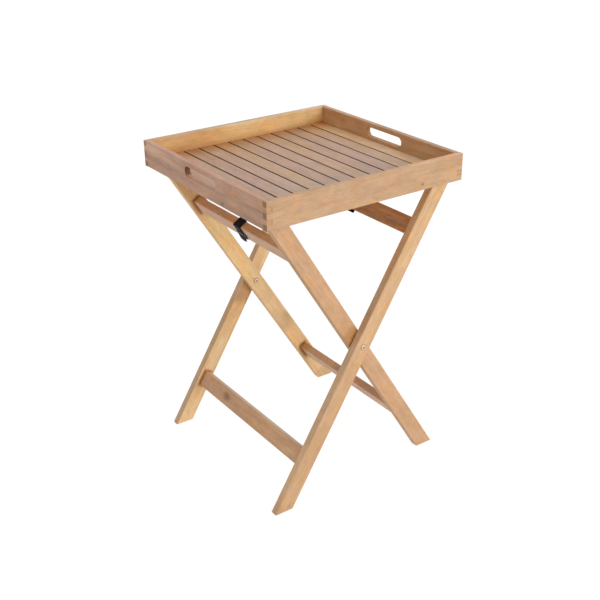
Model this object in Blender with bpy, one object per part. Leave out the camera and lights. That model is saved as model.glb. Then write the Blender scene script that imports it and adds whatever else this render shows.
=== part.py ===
"""A folding butler's table: a slatted wooden tray on a crossed-leg folding stand.

Metres, +Z up. The origin is on the floor under the stand's pivot. The handle boards of
the tray face -X and +X, the slats and the stand's rails run along Y. The front is -Y.
The stand is two frames on one pivot line: the outer frame's top leans to +X, and the
inner frame, which folds inside it, leans to -X. Every size below can be set by itself.
"""

import math

import bmesh
import bpy

# What touches keeps this gap, and a cutter runs this far past the face it opens
TOUCH = 0.0003
OVERRUN = 0.002
MERGE = 0.000001

# Whole table
TABLE_HEIGHT = 0.700
TRAY_LENGTH = 0.471
TRAY_WIDTH = 0.470

# Tray boards, joined at the corners by fingers
BOARD_HEIGHT = 0.056
BOARD_THICKNESS = 0.012
BOARD_ROUND = 0.0010
FINGERS = 5
HANDLE_LENGTH = 0.120
HANDLE_HEIGHT = 0.022
HANDLE_DROP = 0.0205
HANDLE_END_STEPS = 8

# Tray floor
SLATS = 12
SLAT_GAP = 0.0022
SLAT_THICKNESS = 0.010
SLAT_DROP = 0.0375
TONGUE_LENGTH = 0.005
TONGUE_THICKNESS = 0.006
SLAT_ROUND = 0.0008
BATTEN_WIDTH = 0.030
BATTEN_THICKNESS = 0.009
BATTEN_SPACING = 0.220
BATTEN_ROUND = 0.0010

# Countersunk screws that hold the battens, one under each of these slats
SCREWED_SLATS = (1, 6, 10)
SCREW_HEAD_RADIUS = 0.0035
SCREW_HEAD_RIM = 0.0004
SCREW_HEAD_HEIGHT = 0.0026
SCREW_SHANK_RADIUS = 0.0016
SCREW_REACH = 0.006
SCREW_TIP = 0.002
SCREW_STEPS = 12

# Stand
LEG_WIDTH = 0.037
LEG_THICKNESS = 0.018
LEG_ROUND = 0.002
PIVOT_HEIGHT = 0.328
PIVOT_GAP = 0.0025
TRAY_PLAY = 0.0015
RAIL_WIDTH = 0.037
RAIL_THICKNESS = 0.018
RAIL_ROUND = 0.002
STAND_ROUND_STEPS = 2
OUTER_TOP_RAIL_DROP = 0.099
INNER_TOP_RAIL_DROP = 0.1025
BOTTOM_RAIL_HEIGHT = 0.101

# Dowels, two in each end of each rail
DOWEL_RADIUS = 0.004
DOWEL_SPACING = 0.020
DOWEL_IN_LEG = 0.012
DOWEL_IN_RAIL = 0.018
DOWEL_CHAMFER = 0.001
DOWEL_STEPS = 12

# Pivots: a bolt from outside, screwed into a sleeve nut from inside, and a washer between
PIVOT_HEAD_RADIUS = 0.0056
PIVOT_HEAD_HEIGHT = 0.0022
PIVOT_HEAD_RIM = 0.0008
PIVOT_HEAD_CROWN_RADIUS = 0.0040
BOLT_RADIUS = 0.003
BOLT_THREAD = 0.018
SOCKET_RADIUS = 0.0022
SOCKET_DEPTH = 0.0014
SLEEVE_RADIUS = 0.0045
SLEEVE_IN_OUTER_LEG = 0.011
SLEEVE_BORE_SPARE = 0.002
WASHER_RADIUS = 0.009
PIVOT_STEPS = 24

# Webbing strap that stops the stand from opening too far
STRAP_WIDTH = 0.025
STRAP_THICKNESS = 0.0012
STRAP_OFFSET = 0.0025
STRAP_SLACK = 0.0036
STRAP_CORNER_STEPS = 3
SLIDER_WIDTH = 0.030
SLIDER_HEIGHT = 0.015
SLIDER_THICKNESS = 0.0020
SLIDER_ROUND = 0.002
SLIDER_SLOT_HEIGHT = 0.003
SLIDER_SLOT_SPACING = 0.006
SLIDER_DROP = 0.006
TAIL_OVERHANG = 0.0045
TAIL_FLARE = 0.0025

FRONT = -1
BACK = 1
SIDE_NAMES = {FRONT: "front", BACK: "back"}

# Sizes that follow from those above
inside_length = TRAY_LENGTH - 2 * BOARD_THICKNESS
inside_width = TRAY_WIDTH - 2 * BOARD_THICKNESS
tray_bottom = TABLE_HEIGHT - BOARD_HEIGHT
slat_top = TABLE_HEIGHT - SLAT_DROP
slat_bottom = slat_top - SLAT_THICKNESS
tongue_top = slat_bottom + TONGUE_THICKNESS
slat_width = (inside_length - 2 * TOUCH - (SLATS - 1) * SLAT_GAP) / SLATS
batten_bottom = slat_bottom - TOUCH - BATTEN_THICKNESS
leg_top = slat_bottom - TOUCH
outer_leg_face = inside_width / 2 - TRAY_PLAY
inner_leg_face = outer_leg_face - LEG_THICKNESS - PIVOT_GAP

# The legs lean so that their top corners land just inside the handle boards
leg_rise = leg_top - PIVOT_HEIGHT
leg_reach = inside_length / 2 - TRAY_PLAY
corner_turn = math.acos(LEG_WIDTH / 2 / math.hypot(leg_rise, leg_reach))
tilt = corner_turn - math.atan2(leg_rise, leg_reach)

# Where the rails' middles come, measured up the leg from the pivot
outer_top_rail_middle = (leg_rise - OUTER_TOP_RAIL_DROP) / math.cos(tilt)
inner_top_rail_middle = (leg_rise - INNER_TOP_RAIL_DROP) / math.cos(tilt)
bottom_rail_middle = (BOTTOM_RAIL_HEIGHT - PIVOT_HEIGHT) / math.cos(tilt)


def clear_scene():
    for obj in list(bpy.data.objects):
        bpy.data.objects.remove(obj, do_unlink=True)


def material(name, colour, roughness, metallic):
    made = bpy.data.materials.new(name)
    made.use_nodes = True
    shader = made.node_tree.nodes["Principled BSDF"]
    shader.inputs["Base Color"].default_value = (*colour, 1)
    shader.inputs["Roughness"].default_value = roughness
    shader.inputs["Metallic"].default_value = metallic
    return made


def add_object(name, bm, parent, finish):
    """Puts a mesh in the scene under its name; a piece with no finish is a cutter."""
    bmesh.ops.recalc_face_normals(bm, faces=bm.faces)
    mesh = bpy.data.meshes.new(name)
    bm.to_mesh(mesh)
    bm.free()
    obj = bpy.data.objects.new(name, mesh)
    bpy.context.collection.objects.link(obj)
    obj.parent = parent
    if finish:
        mesh.materials.append(finish)
    else:
        obj.hide_render = True
        obj.display_type = "WIRE"
    return obj


def prism(name, loop, sweep, parent, finish=None):
    """A flat loop of points swept along a vector into a closed solid."""
    bm = bmesh.new()
    face = bm.faces.new([bm.verts.new(point) for point in loop])
    swept = bmesh.ops.extrude_face_region(bm, geom=[face])["geom"]
    moved = [item for item in swept if isinstance(item, bmesh.types.BMVert)]
    bmesh.ops.translate(bm, verts=moved, vec=sweep)
    return add_object(name, bm, parent, finish)


def box(name, low, high, parent, finish=None):
    (x0, y0, z0), (x1, y1, z1) = low, high
    loop = [(x0, y0, z0), (x1, y0, z0), (x1, y0, z1), (x0, y0, z1)]
    return prism(name, loop, (0, y1 - y0, 0), parent, finish)


def turned(name, profile, steps, parent, finish=None):
    """A solid of revolution about Z: (radius, height) points, from axis to axis."""
    bm = bmesh.new()
    verts = [bm.verts.new((radius, 0, height)) for radius, height in profile]
    edges = [bm.edges.new(pair) for pair in zip(verts, verts[1:])]
    bmesh.ops.spin(
        bm, geom=verts + edges, cent=(0, 0, 0), axis=(0, 0, 1), angle=math.tau, steps=steps
    )
    bmesh.ops.remove_doubles(bm, verts=bm.verts, dist=MERGE)
    obj = add_object(name, bm, parent, finish)
    obj.data.shade_smooth()
    obj.data.set_sharp_from_angle(angle=math.radians(35))
    return obj


def rounded_outline(length, height, radius, steps):
    """Points of a rectangle with round corners, about its centre."""
    points = []
    for quarter, (x_sign, y_sign) in enumerate(((1, 1), (-1, 1), (-1, -1), (1, -1))):
        centre_x = x_sign * (length / 2 - radius)
        centre_y = y_sign * (height / 2 - radius)
        for step in range(steps + 1):
            angle = (quarter + step / steps) * math.pi / 2
            point = (centre_x + radius * math.cos(angle), centre_y + radius * math.sin(angle))
            if not points or math.dist(points[-1], point) > MERGE:
                points.append(point)
    if math.dist(points[0], points[-1]) <= MERGE:
        points.pop()
    return points


def cut(obj, cutter):
    """Takes a cutter's shape out of a piece."""
    modifier = obj.modifiers.new(f"cut_{cutter.name}", "BOOLEAN")
    modifier.object = cutter
    modifier.operation = "DIFFERENCE"
    modifier.solver = "EXACT"


def ease_edges(obj, width, steps=1, along=None):
    """Takes the sharpness off a piece's outer edges, or off the long ones along an axis."""
    bm = bmesh.new()
    bm.from_mesh(obj.data)
    weight = bm.edges.layers.float.new("bevel_weight_edge")
    longest = max(edge.calc_length() for edge in bm.edges)
    for edge in bm.edges:
        span = edge.verts[0].co - edge.verts[1].co
        wanted = along is None or abs(span[along]) > longest / 2
        edge[weight] = float(wanted and edge.is_convex)
    bm.to_mesh(obj.data)
    bm.free()
    modifier = obj.modifiers.new("eased_edges", "BEVEL")
    modifier.width = width
    modifier.segments = steps
    modifier.limit_method = "WEIGHT"


def finger_outline(length, notched, notch, gap):
    """The outline of a tray board with its fingers, as (along, up) points.

    notched is the remainder, 0 or 1, of the finger rows that are cut back at both ends,
    notch is how far, and gap narrows this board's own fingers so that they slide in.
    """
    row_height = BOARD_HEIGHT / FINGERS
    right = []
    for row in range(FINGERS):
        cut_back = row % 2 == notched
        reach = length / 2 - (notch if cut_back else 0)
        low = row * row_height
        high = low + row_height
        below = 0 if row == 0 else (-gap if cut_back else gap)
        above = 0 if row == FINGERS - 1 else (gap if cut_back else -gap)
        right += [(reach, low + below), (reach, high + above)]
    left = [(-along, up) for along, up in reversed(right)]
    return right + left


def make_side_board(side, tray, wood):
    """The front or back board, with full fingers top, middle and bottom, and a groove."""
    outline = finger_outline(TRAY_LENGTH, 1, BOARD_THICKNESS + TOUCH, 0)
    face = side * TRAY_WIDTH / 2
    loop = [(along, face, tray_bottom + up) for along, up in outline]
    name = f"tray_{SIDE_NAMES[side]}_board"
    board = prism(name, loop, (0, -side * BOARD_THICKNESS, 0), tray, wood)
    ease_edges(board, BOARD_ROUND, along=0)
    inner_face = side * inside_width / 2
    groove = box(
        f"groove_{SIDE_NAMES[side]}",
        (-inside_length / 2 - OVERRUN, inner_face - side * OVERRUN, slat_bottom - TOUCH),
        (inside_length / 2 + OVERRUN, inner_face + side * TONGUE_LENGTH, tongue_top + TOUCH),
        tray,
    )
    cut(board, groove)


def make_handle_board(name, side, tray, wood):
    """The left or right board, with the two fingers between and a slot for the hand."""
    outline = finger_outline(TRAY_WIDTH, 0, BOARD_THICKNESS + TOUCH, TOUCH)
    face = side * TRAY_LENGTH / 2
    loop = [(face, along, tray_bottom + up) for along, up in outline]
    board = prism(name, loop, (-side * BOARD_THICKNESS, 0, 0), tray, wood)
    ease_edges(board, BOARD_ROUND, along=1)
    slot = rounded_outline(HANDLE_LENGTH, HANDLE_HEIGHT, HANDLE_HEIGHT / 2, HANDLE_END_STEPS)
    middle = TABLE_HEIGHT - HANDLE_DROP
    start = face + side * OVERRUN
    loop = [(start, along, middle + up) for along, up in slot]
    depth = BOARD_THICKNESS + 2 * OVERRUN
    cut(board, prism(f"{name}_slot", loop, (-side * depth, 0, 0), tray))


def make_slats(tray, wood):
    """The floor of the tray: slats side by side, their end tongues in the boards' grooves."""
    shoulder = inside_width / 2 - TOUCH
    tip = shoulder + TONGUE_LENGTH
    right = [(tip, slat_bottom), (tip, tongue_top), (shoulder, tongue_top), (shoulder, slat_top)]
    outline = right + [(-along, up) for along, up in reversed(right)]
    slats = []
    for index in range(SLATS):
        left = -inside_length / 2 + TOUCH + index * (slat_width + SLAT_GAP)
        loop = [(left, along, up) for along, up in outline]
        slat = prism(f"tray_slat_{index + 1:02d}", loop, (slat_width, 0, 0), tray, wood)
        ease_edges(slat, SLAT_ROUND)
        slats.append(slat)
    return slats


def screw_profile(length, gap, start):
    """A countersunk screw pointing up, or with a gap the hole that it needs."""
    return [
        (0, start),
        (SCREW_HEAD_RADIUS + gap, start),
        (SCREW_HEAD_RADIUS + gap, SCREW_HEAD_RIM),
        (SCREW_SHANK_RADIUS + gap, SCREW_HEAD_HEIGHT),
        (SCREW_SHANK_RADIUS + gap, length - SCREW_TIP + gap),
        (0, length + gap),
    ]


def make_batten(side, slats, tray, wood, steel):
    """A cross batten under the slats, and the screws that go up through it."""
    middle = side * BATTEN_SPACING / 2
    half = inside_length / 2 - TOUCH
    batten = box(
        f"tray_batten_{SIDE_NAMES[side]}",
        (-half, middle - BATTEN_WIDTH / 2, batten_bottom),
        (half, middle + BATTEN_WIDTH / 2, batten_bottom + BATTEN_THICKNESS),
        tray,
        wood,
    )
    ease_edges(batten, BATTEN_ROUND)
    length = BATTEN_THICKNESS + TOUCH + SCREW_REACH
    for number, index in enumerate(SCREWED_SLATS, start=1):
        slat = slats[index]
        across = -inside_length / 2 + TOUCH + index * (slat_width + SLAT_GAP) + slat_width / 2
        name = f"batten_screw_{SIDE_NAMES[side]}_{number}"
        screw = turned(name, screw_profile(length, 0, 0), SCREW_STEPS, tray, steel)
        hole = turned(f"{name}_hole", screw_profile(length, TOUCH, -OVERRUN), SCREW_STEPS, tray)
        for obj in (screw, hole):
            obj.location = (across, middle, batten_bottom)
        cut(batten, hole)
        cut(slat, hole)


def make_tray(wood, slat_wood, steel):
    tray = bpy.data.objects.new("tray", None)
    bpy.context.collection.objects.link(tray)
    make_side_board(FRONT, tray, wood)
    make_side_board(BACK, tray, wood)
    make_handle_board("tray_left_handle_board", -1, tray, wood)
    make_handle_board("tray_right_handle_board", 1, tray, wood)
    slats = make_slats(tray, slat_wood)
    make_batten(FRONT, slats, tray, slat_wood, steel)
    make_batten(BACK, slats, tray, slat_wood, steel)


def make_leg(name, frame, lean, side, face, wood):
    """A leg along its frame's own Z, cut flat at the floor and under the slats."""

    def along_leg(x, height):
        return (height - PIVOT_HEIGHT + x * math.sin(lean)) / math.cos(lean)

    loop = []
    for x, height in ((-1, 0), (1, 0), (1, leg_top), (-1, leg_top)):
        across = x * LEG_WIDTH / 2
        loop.append((across, side * face, along_leg(across, height)))
    leg = prism(name, loop, (0, -side * LEG_THICKNESS, 0), frame, wood)
    ease_edges(leg, LEG_ROUND, STAND_ROUND_STEPS)
    return leg


def make_rail(name, frame, centre, half_length, wood):
    """A rail that butts between the two legs of its frame."""
    low = (-RAIL_THICKNESS / 2, -half_length, centre - RAIL_WIDTH / 2)
    high = (RAIL_THICKNESS / 2, half_length, centre + RAIL_WIDTH / 2)
    rail = box(name, low, high, frame, wood)
    ease_edges(rail, RAIL_ROUND, STAND_ROUND_STEPS)
    return rail


def dowel_profile(length):
    return [
        (0, 0),
        (DOWEL_RADIUS - DOWEL_CHAMFER, 0),
        (DOWEL_RADIUS, DOWEL_CHAMFER),
        (DOWEL_RADIUS, length - DOWEL_CHAMFER),
        (DOWEL_RADIUS - DOWEL_CHAMFER, length),
        (0, length),
    ]


def join_with_dowels(name, frame, leg, rail, side, joint_y, centre, wood):
    """Two dowels across the joint of a rail's end and a leg's inner face."""
    depth = DOWEL_IN_LEG + DOWEL_IN_RAIL
    bore_profile = [(0, 0), (DOWEL_RADIUS + TOUCH, 0), (DOWEL_RADIUS + TOUCH, depth), (0, depth)]
    for number, up in ((1, 1), (2, -1)):
        height = centre + up * DOWEL_SPACING / 2
        dowel_name = f"{name}_dowel_{SIDE_NAMES[side]}_{number}"
        dowel = turned(dowel_name, dowel_profile(depth - 2 * TOUCH), DOWEL_STEPS, frame, wood)
        bore = turned(f"{dowel_name}_bore", bore_profile, DOWEL_STEPS, frame)
        dowel.location = (0, side * (joint_y + DOWEL_IN_LEG - TOUCH), height)
        bore.location = (0, side * (joint_y + DOWEL_IN_LEG), height)
        for obj in (dowel, bore):
            obj.rotation_euler.x = side * math.pi / 2
        cut(leg, bore)
        cut(rail, bore)


def make_frame(name, lean, face, top_rail_middle, wood, dowel_wood):
    """One of the stand's two frames: two legs and two rails, doweled together."""
    frame = bpy.data.objects.new(f"{name}_frame", None)
    bpy.context.collection.objects.link(frame)
    frame.location = (0, 0, PIVOT_HEIGHT)
    frame.rotation_euler.y = lean
    joint_y = face - LEG_THICKNESS
    legs = {}
    for side in (FRONT, BACK):
        leg_name = f"{name}_leg_{SIDE_NAMES[side]}"
        legs[side] = make_leg(leg_name, frame, lean, side, face, wood)
    for place, centre in (("top", top_rail_middle), ("bottom", bottom_rail_middle)):
        rail = make_rail(f"{name}_{place}_rail", frame, centre, joint_y - TOUCH, wood)
        for side, leg in legs.items():
            join_with_dowels(
                f"{name}_{place}", frame, leg, rail, side, joint_y, centre, dowel_wood
            )
    return frame, legs


def head_profile():
    """The low domed head of a bolt or nut, from its crown's centre to its seat."""
    return [
        (0, -PIVOT_HEAD_HEIGHT - TOUCH),
        (PIVOT_HEAD_CROWN_RADIUS, -PIVOT_HEAD_HEIGHT - TOUCH),
        (PIVOT_HEAD_RADIUS, -PIVOT_HEAD_RIM - TOUCH),
        (PIVOT_HEAD_RADIUS, -TOUCH),
    ]


def cut_socket(obj, parent):
    """A hexagonal socket in the crown of a bolt's or nut's head."""
    corners = [step * math.pi / 3 for step in range(6)]
    start = -PIVOT_HEAD_HEIGHT - TOUCH - OVERRUN
    loop = [
        (SOCKET_RADIUS * math.cos(angle), SOCKET_RADIUS * math.sin(angle), start)
        for angle in corners
    ]
    socket = prism(f"{obj.name}_socket", loop, (0, 0, SOCKET_DEPTH + OVERRUN), parent)
    socket.location = obj.location
    socket.rotation_euler = obj.rotation_euler
    cut(obj, socket)


def make_pivot(side, outer_frame, inner_frame, outer_leg, inner_leg, steel):
    """The bolt, washer and sleeve nut on which the two legs of one side turn."""
    where = SIDE_NAMES[side]
    outside = outer_leg_face
    bolt_length = LEG_THICKNESS - SLEEVE_IN_OUTER_LEG + BOLT_THREAD
    bolt_shank = [(BOLT_RADIUS, -TOUCH), (BOLT_RADIUS, bolt_length), (0, bolt_length)]
    bolt = turned(
        f"pivot_bolt_{where}", head_profile() + bolt_shank, PIVOT_STEPS, outer_frame, steel
    )
    bolt.location.y = side * outside
    bolt.rotation_euler.x = side * math.pi / 2
    cut_socket(bolt, outer_frame)

    inside = inner_leg_face - LEG_THICKNESS
    sleeve = LEG_THICKNESS + PIVOT_GAP + SLEEVE_IN_OUTER_LEG
    bore = BOLT_RADIUS + TOUCH
    bore_end = sleeve - BOLT_THREAD - SLEEVE_BORE_SPARE
    nut_sleeve = [
        (SLEEVE_RADIUS, -TOUCH),
        (SLEEVE_RADIUS, sleeve),
        (bore, sleeve),
        (bore, bore_end),
        (0, bore_end),
    ]
    nut = turned(
        f"pivot_nut_{where}", head_profile() + nut_sleeve, PIVOT_STEPS, inner_frame, steel
    )
    nut.location.y = side * inside
    nut.rotation_euler.x = -side * math.pi / 2
    cut_socket(nut, inner_frame)

    hole_radius = SLEEVE_RADIUS + TOUCH
    thickness = PIVOT_GAP - 2 * TOUCH
    ring = [
        (hole_radius, 0),
        (WASHER_RADIUS, 0),
        (WASHER_RADIUS, thickness),
        (hole_radius, thickness),
        (hole_radius, 0),
    ]
    washer = turned(f"pivot_washer_{where}", ring, PIVOT_STEPS, outer_frame, steel)
    washer.location.y = side * (inner_leg_face + PIVOT_GAP - TOUCH)
    washer.rotation_euler.x = side * math.pi / 2

    start = inside - OVERRUN
    depth = outside - inside + 2 * OVERRUN
    hole_profile = [(0, 0), (hole_radius, 0), (hole_radius, depth), (0, depth)]
    hole = turned(f"pivot_hole_{where}", hole_profile, PIVOT_STEPS, None)
    hole.location = (0, side * start, PIVOT_HEIGHT)
    hole.rotation_euler.x = -side * math.pi / 2
    cut(outer_leg, hole)
    cut(inner_leg, hole)


def make_strap_wrap(name, frame, rail_middle, slack, webbing):
    """The strap's turn round a top rail, a touching gap off it, with its slack below it."""
    across = RAIL_THICKNESS + 2 * TOUCH
    up = RAIL_WIDTH + 2 * TOUCH + slack
    middle = rail_middle - slack / 2
    inner_round = RAIL_ROUND + TOUCH
    solids = []
    for grown, half, suffix, finish in (
        (STRAP_THICKNESS, STRAP_WIDTH / 2, "", webbing),
        (0, STRAP_WIDTH / 2 + OVERRUN, "_hollow", None),
    ):
        outline = rounded_outline(
            across + 2 * grown, up + 2 * grown, inner_round + grown, STRAP_CORNER_STEPS
        )
        loop = [(x, STRAP_OFFSET - half, middle + z) for x, z in outline]
        solids.append(prism(name + suffix, loop, (0, 2 * half, 0), frame, finish))
    cut(solids[0], solids[1])


def strap_turn_end(rail_middle, below):
    """Where the taut stretch meets a turn, as (distance from the pivot line, height).

    The point is on the turn's inner face, this far below the start of its upper bend.
    """
    side_face = RAIL_THICKNESS / 2 + TOUCH + STRAP_THICKNESS
    round_start = rail_middle + RAIL_WIDTH / 2 - RAIL_ROUND
    away = round_start * math.sin(tilt) - side_face * math.cos(tilt)
    height = PIVOT_HEIGHT + round_start * math.cos(tilt) + side_face * math.sin(tilt)
    return away - below * math.tan(tilt) - TOUCH / math.cos(tilt), height - below


def make_strap_span(webbing):
    """The taut stretch between the two turns, cut at its ends to meet them."""
    loop = []
    for below in (0, STRAP_THICKNESS):
        away, height = strap_turn_end(inner_top_rail_middle, below)
        left = (-away, STRAP_OFFSET - STRAP_WIDTH / 2, height)
        away, height = strap_turn_end(outer_top_rail_middle, below)
        right = (away, STRAP_OFFSET - STRAP_WIDTH / 2, height)
        loop += [left, right] if below == 0 else [right, left]
    prism("strap_span", loop, (0, STRAP_WIDTH, 0), None, webbing)


def make_strap_slider(frame, webbing, plastic):
    """The slider and the strap's loose end, on the outside of the inner top rail."""
    strap_face = -(RAIL_THICKNESS / 2 + TOUCH + STRAP_THICKNESS + TOUCH)
    middle = inner_top_rail_middle - SLIDER_DROP
    outline = rounded_outline(SLIDER_WIDTH, SLIDER_HEIGHT, SLIDER_ROUND, STRAP_CORNER_STEPS)
    loop = [(strap_face, STRAP_OFFSET + y, middle + z) for y, z in outline]
    slider = prism("strap_slider", loop, (-SLIDER_THICKNESS, 0, 0), frame, plastic)
    slot_half = STRAP_WIDTH / 2 + TOUCH
    for number, up in ((1, 1), (2, -1)):
        centre = middle + up * SLIDER_SLOT_SPACING / 2
        low = (strap_face - SLIDER_THICKNESS - OVERRUN, STRAP_OFFSET - slot_half)
        high = (strap_face + OVERRUN, STRAP_OFFSET + slot_half)
        slot = box(
            f"strap_slider_slot_{number}",
            (*low, centre - SLIDER_SLOT_HEIGHT / 2),
            (*high, centre + SLIDER_SLOT_HEIGHT / 2),
            frame,
        )
        cut(slider, slot)
    tail_top = middle - SLIDER_HEIGHT / 2 - TOUCH
    tail_end = inner_top_rail_middle - RAIL_WIDTH / 2 - TAIL_OVERHANG
    edge = STRAP_OFFSET - STRAP_WIDTH / 2
    loop = [
        (strap_face, edge, tail_top),
        (strap_face - STRAP_THICKNESS, edge, tail_top),
        (strap_face - TAIL_FLARE - STRAP_THICKNESS, edge, tail_end),
        (strap_face - TAIL_FLARE, edge, tail_end),
    ]
    prism("strap_tail", loop, (0, STRAP_WIDTH, 0), frame, webbing)


def main():
    clear_scene()
    wood = material("oiled_hardwood", (0.56, 0.34, 0.18), 0.55, 0)
    slat_wood = material("slat_hardwood", (0.47, 0.29, 0.18), 0.6, 0)
    dowel_wood = material("beech_dowel", (0.66, 0.47, 0.28), 0.6, 0)
    steel = material("zinc_plated_steel", (0.72, 0.70, 0.66), 0.35, 1)
    webbing = material("black_webbing", (0.012, 0.012, 0.014), 0.8, 0)
    plastic = material("black_plastic", (0.02, 0.02, 0.022), 0.4, 0)

    make_tray(wood, slat_wood, steel)
    outer_frame, outer_legs = make_frame(
        "outer", tilt, outer_leg_face, outer_top_rail_middle, wood, dowel_wood
    )
    inner_frame, inner_legs = make_frame(
        "inner", -tilt, inner_leg_face, inner_top_rail_middle, wood, dowel_wood
    )
    for side in (FRONT, BACK):
        make_pivot(side, outer_frame, inner_frame, outer_legs[side], inner_legs[side], steel)
    make_strap_wrap("strap_wrap_outer", outer_frame, outer_top_rail_middle, STRAP_SLACK, webbing)
    make_strap_wrap("strap_wrap_inner", inner_frame, inner_top_rail_middle, 0, webbing)
    make_strap_span(webbing)
    make_strap_slider(inner_frame, webbing, plastic)


main()
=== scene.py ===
# %% [markdown]
# # A butler's tray table
#
# A wooden tray with a slatted floor lies loose on a stand of two frames that cross like
# scissors. A strap between the top rails stops the stand from opening too far. The packed
# model already holds every wooden piece in its right size and place. What is left for this
# file is the looks: the grain of each board, the bolts, the webbing strap and the light.

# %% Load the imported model
import math

import bmesh
import bpy
import numpy as np
from mathutils import Matrix, Vector


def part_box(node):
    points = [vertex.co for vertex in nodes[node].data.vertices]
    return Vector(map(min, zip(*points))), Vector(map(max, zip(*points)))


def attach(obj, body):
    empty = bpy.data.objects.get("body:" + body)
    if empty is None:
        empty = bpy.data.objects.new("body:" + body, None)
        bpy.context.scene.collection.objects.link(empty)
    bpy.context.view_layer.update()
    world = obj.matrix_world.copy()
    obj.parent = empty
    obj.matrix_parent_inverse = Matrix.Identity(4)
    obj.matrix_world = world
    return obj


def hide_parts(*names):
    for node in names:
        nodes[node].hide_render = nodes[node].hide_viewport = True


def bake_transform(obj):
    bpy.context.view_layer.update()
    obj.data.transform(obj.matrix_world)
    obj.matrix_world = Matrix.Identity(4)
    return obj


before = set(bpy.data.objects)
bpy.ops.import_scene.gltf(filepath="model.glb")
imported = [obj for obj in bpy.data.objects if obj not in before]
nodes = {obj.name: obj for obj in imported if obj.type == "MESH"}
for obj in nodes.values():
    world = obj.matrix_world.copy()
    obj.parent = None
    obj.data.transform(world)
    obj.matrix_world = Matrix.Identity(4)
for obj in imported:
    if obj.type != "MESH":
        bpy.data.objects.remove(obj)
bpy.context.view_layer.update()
MM = 0.001

# %% [markdown]
# ## The camera
#
# The photograph looks down on the table from its left front. A camera could be aimed by
# hand at the table's middle, but then the edges never quite line up. Here its place and
# its three angles come from matching the corners of the tray and the edges of the legs,
# so that the render can be laid over the photograph.

# %% Camera
PHOTO_WIDTH, SENSOR_WIDTH = 600, 36
FOCAL_PIXELS = 982.67
camera_place = Vector((-1.11601, -1.59945, 1.30273))
turn, rise, roll = (math.radians(angle) for angle in (34.85, -26.06, -0.67))

forward = Vector((math.sin(turn) * math.cos(rise), math.cos(turn) * math.cos(rise), math.sin(rise)))
level = Vector((math.cos(turn), -math.sin(turn), 0))
upright = level.cross(forward)
camera_right = math.cos(roll) * level + math.sin(roll) * upright
camera_up = math.cos(roll) * upright - math.sin(roll) * level

camera_data = bpy.data.cameras.new("photo_camera")
camera_data.sensor_width = SENSOR_WIDTH
camera_data.lens = FOCAL_PIXELS * SENSOR_WIDTH / PHOTO_WIDTH
camera = bpy.data.objects.new("photo_camera", camera_data)
bpy.context.scene.collection.objects.link(camera)
directions = Matrix((camera_right, camera_up, -forward)).transposed().to_4x4()
camera.matrix_world = Matrix.Translation(camera_place) @ directions
bpy.context.scene.camera = camera
print("lens in mm:", round(camera_data.lens, 2))

# %% [markdown]
# ## A shorthand for shader nodes
#
# A material in Blender is a graph of nodes. Wood needs dozens of them, and a long list of
# new nodes and links is hard to read. The class Wire stands for one value on its way
# through the graph and lets Python's own signs add the Math nodes, so that a formula in
# the file looks like a formula. Graph adds every other node, and Finish is the graph of
# one material.

# %% Wire
class Wire:
    """A value on its way through a graph."""

    def __init__(self, graph, socket):
        self.graph = graph
        self.socket = socket

    def work(self, operation, *terms):
        """Adds a Math node, or a Vector Math node where this wire is a vector."""
        kind = "ShaderNodeMath" if self.socket.type == "VALUE" else "ShaderNodeVectorMath"
        return self.graph.node(kind, dict(enumerate(terms)), operation=operation)

    def other(self, name):
        """Another output of the node that this wire comes from."""
        return Wire(self.graph, self.socket.node.outputs[name])

    def __add__(self, term):
        return self.work("ADD", self, term)

    __radd__ = __add__

    def __sub__(self, term):
        return self.work("SUBTRACT", self, term)

    def __rsub__(self, term):
        return self.work("SUBTRACT", term, self)

    def __mul__(self, term):
        return self.work("MULTIPLY", self, term)

    __rmul__ = __mul__

    def __truediv__(self, term):
        return self.work("DIVIDE", self, term)

    def __pow__(self, term):
        return self.work("POWER", self, term)

    def __abs__(self):
        return self.work("ABSOLUTE", self)


# %% Graph and Finish
class Graph:
    """A graph of shader nodes that grows node by node."""

    def __init__(self, tree):
        self.tree = tree

    def node(self, kind, sockets=None, output=0, **settings):
        """Adds a node, fills its sockets and returns one of its outputs."""
        made = self.tree.nodes.new(kind)
        for name, value in settings.items():
            setattr(made, name, value)
        for key, value in (sockets or {}).items():
            if isinstance(value, Wire):
                self.tree.links.new(value.socket, made.inputs[key])
            else:
                made.inputs[key].default_value = value
        return Wire(self, made.outputs[output])

    def mix(self, share, first, second, blend="MIX"):
        """Mixes two colours; share 0 gives the first."""
        first, second = (c if isinstance(c, Wire) else (*c, 1) for c in (first, second))
        sockets = {0: share, 6: first, 7: second}
        return self.node("ShaderNodeMix", sockets, 2, data_type="RGBA", blend_type=blend)

    def tint(self, share, colour, by):
        """Multiplies a colour by another, as far as the share says."""
        return self.mix(share, colour, by, "MULTIPLY")

    def grey(self, value):
        """A number as a grey, to multiply a colour by."""
        return self.node("ShaderNodeCombineColor", {0: value, 1: value, 2: value})

    def step(self, value, low, high):
        """0 below low, 1 above high, with a soft passage between."""
        sockets = {"Value": value, "From Min": low, "From Max": high}
        return self.node("ShaderNodeMapRange", sockets, interpolation_type="SMOOTHSTEP")

    def noise(self, place, detail=2.0, roughness=0.5):
        sockets = {"Vector": place, "Scale": 1.0, "Detail": detail, "Roughness": roughness}
        return self.node("ShaderNodeTexNoise", sockets)

    def show(self, shader, output_name):
        """Makes this shader the one that shows."""
        self.tree.links.new(shader.socket, self.tree.nodes[output_name].inputs["Surface"])


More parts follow.
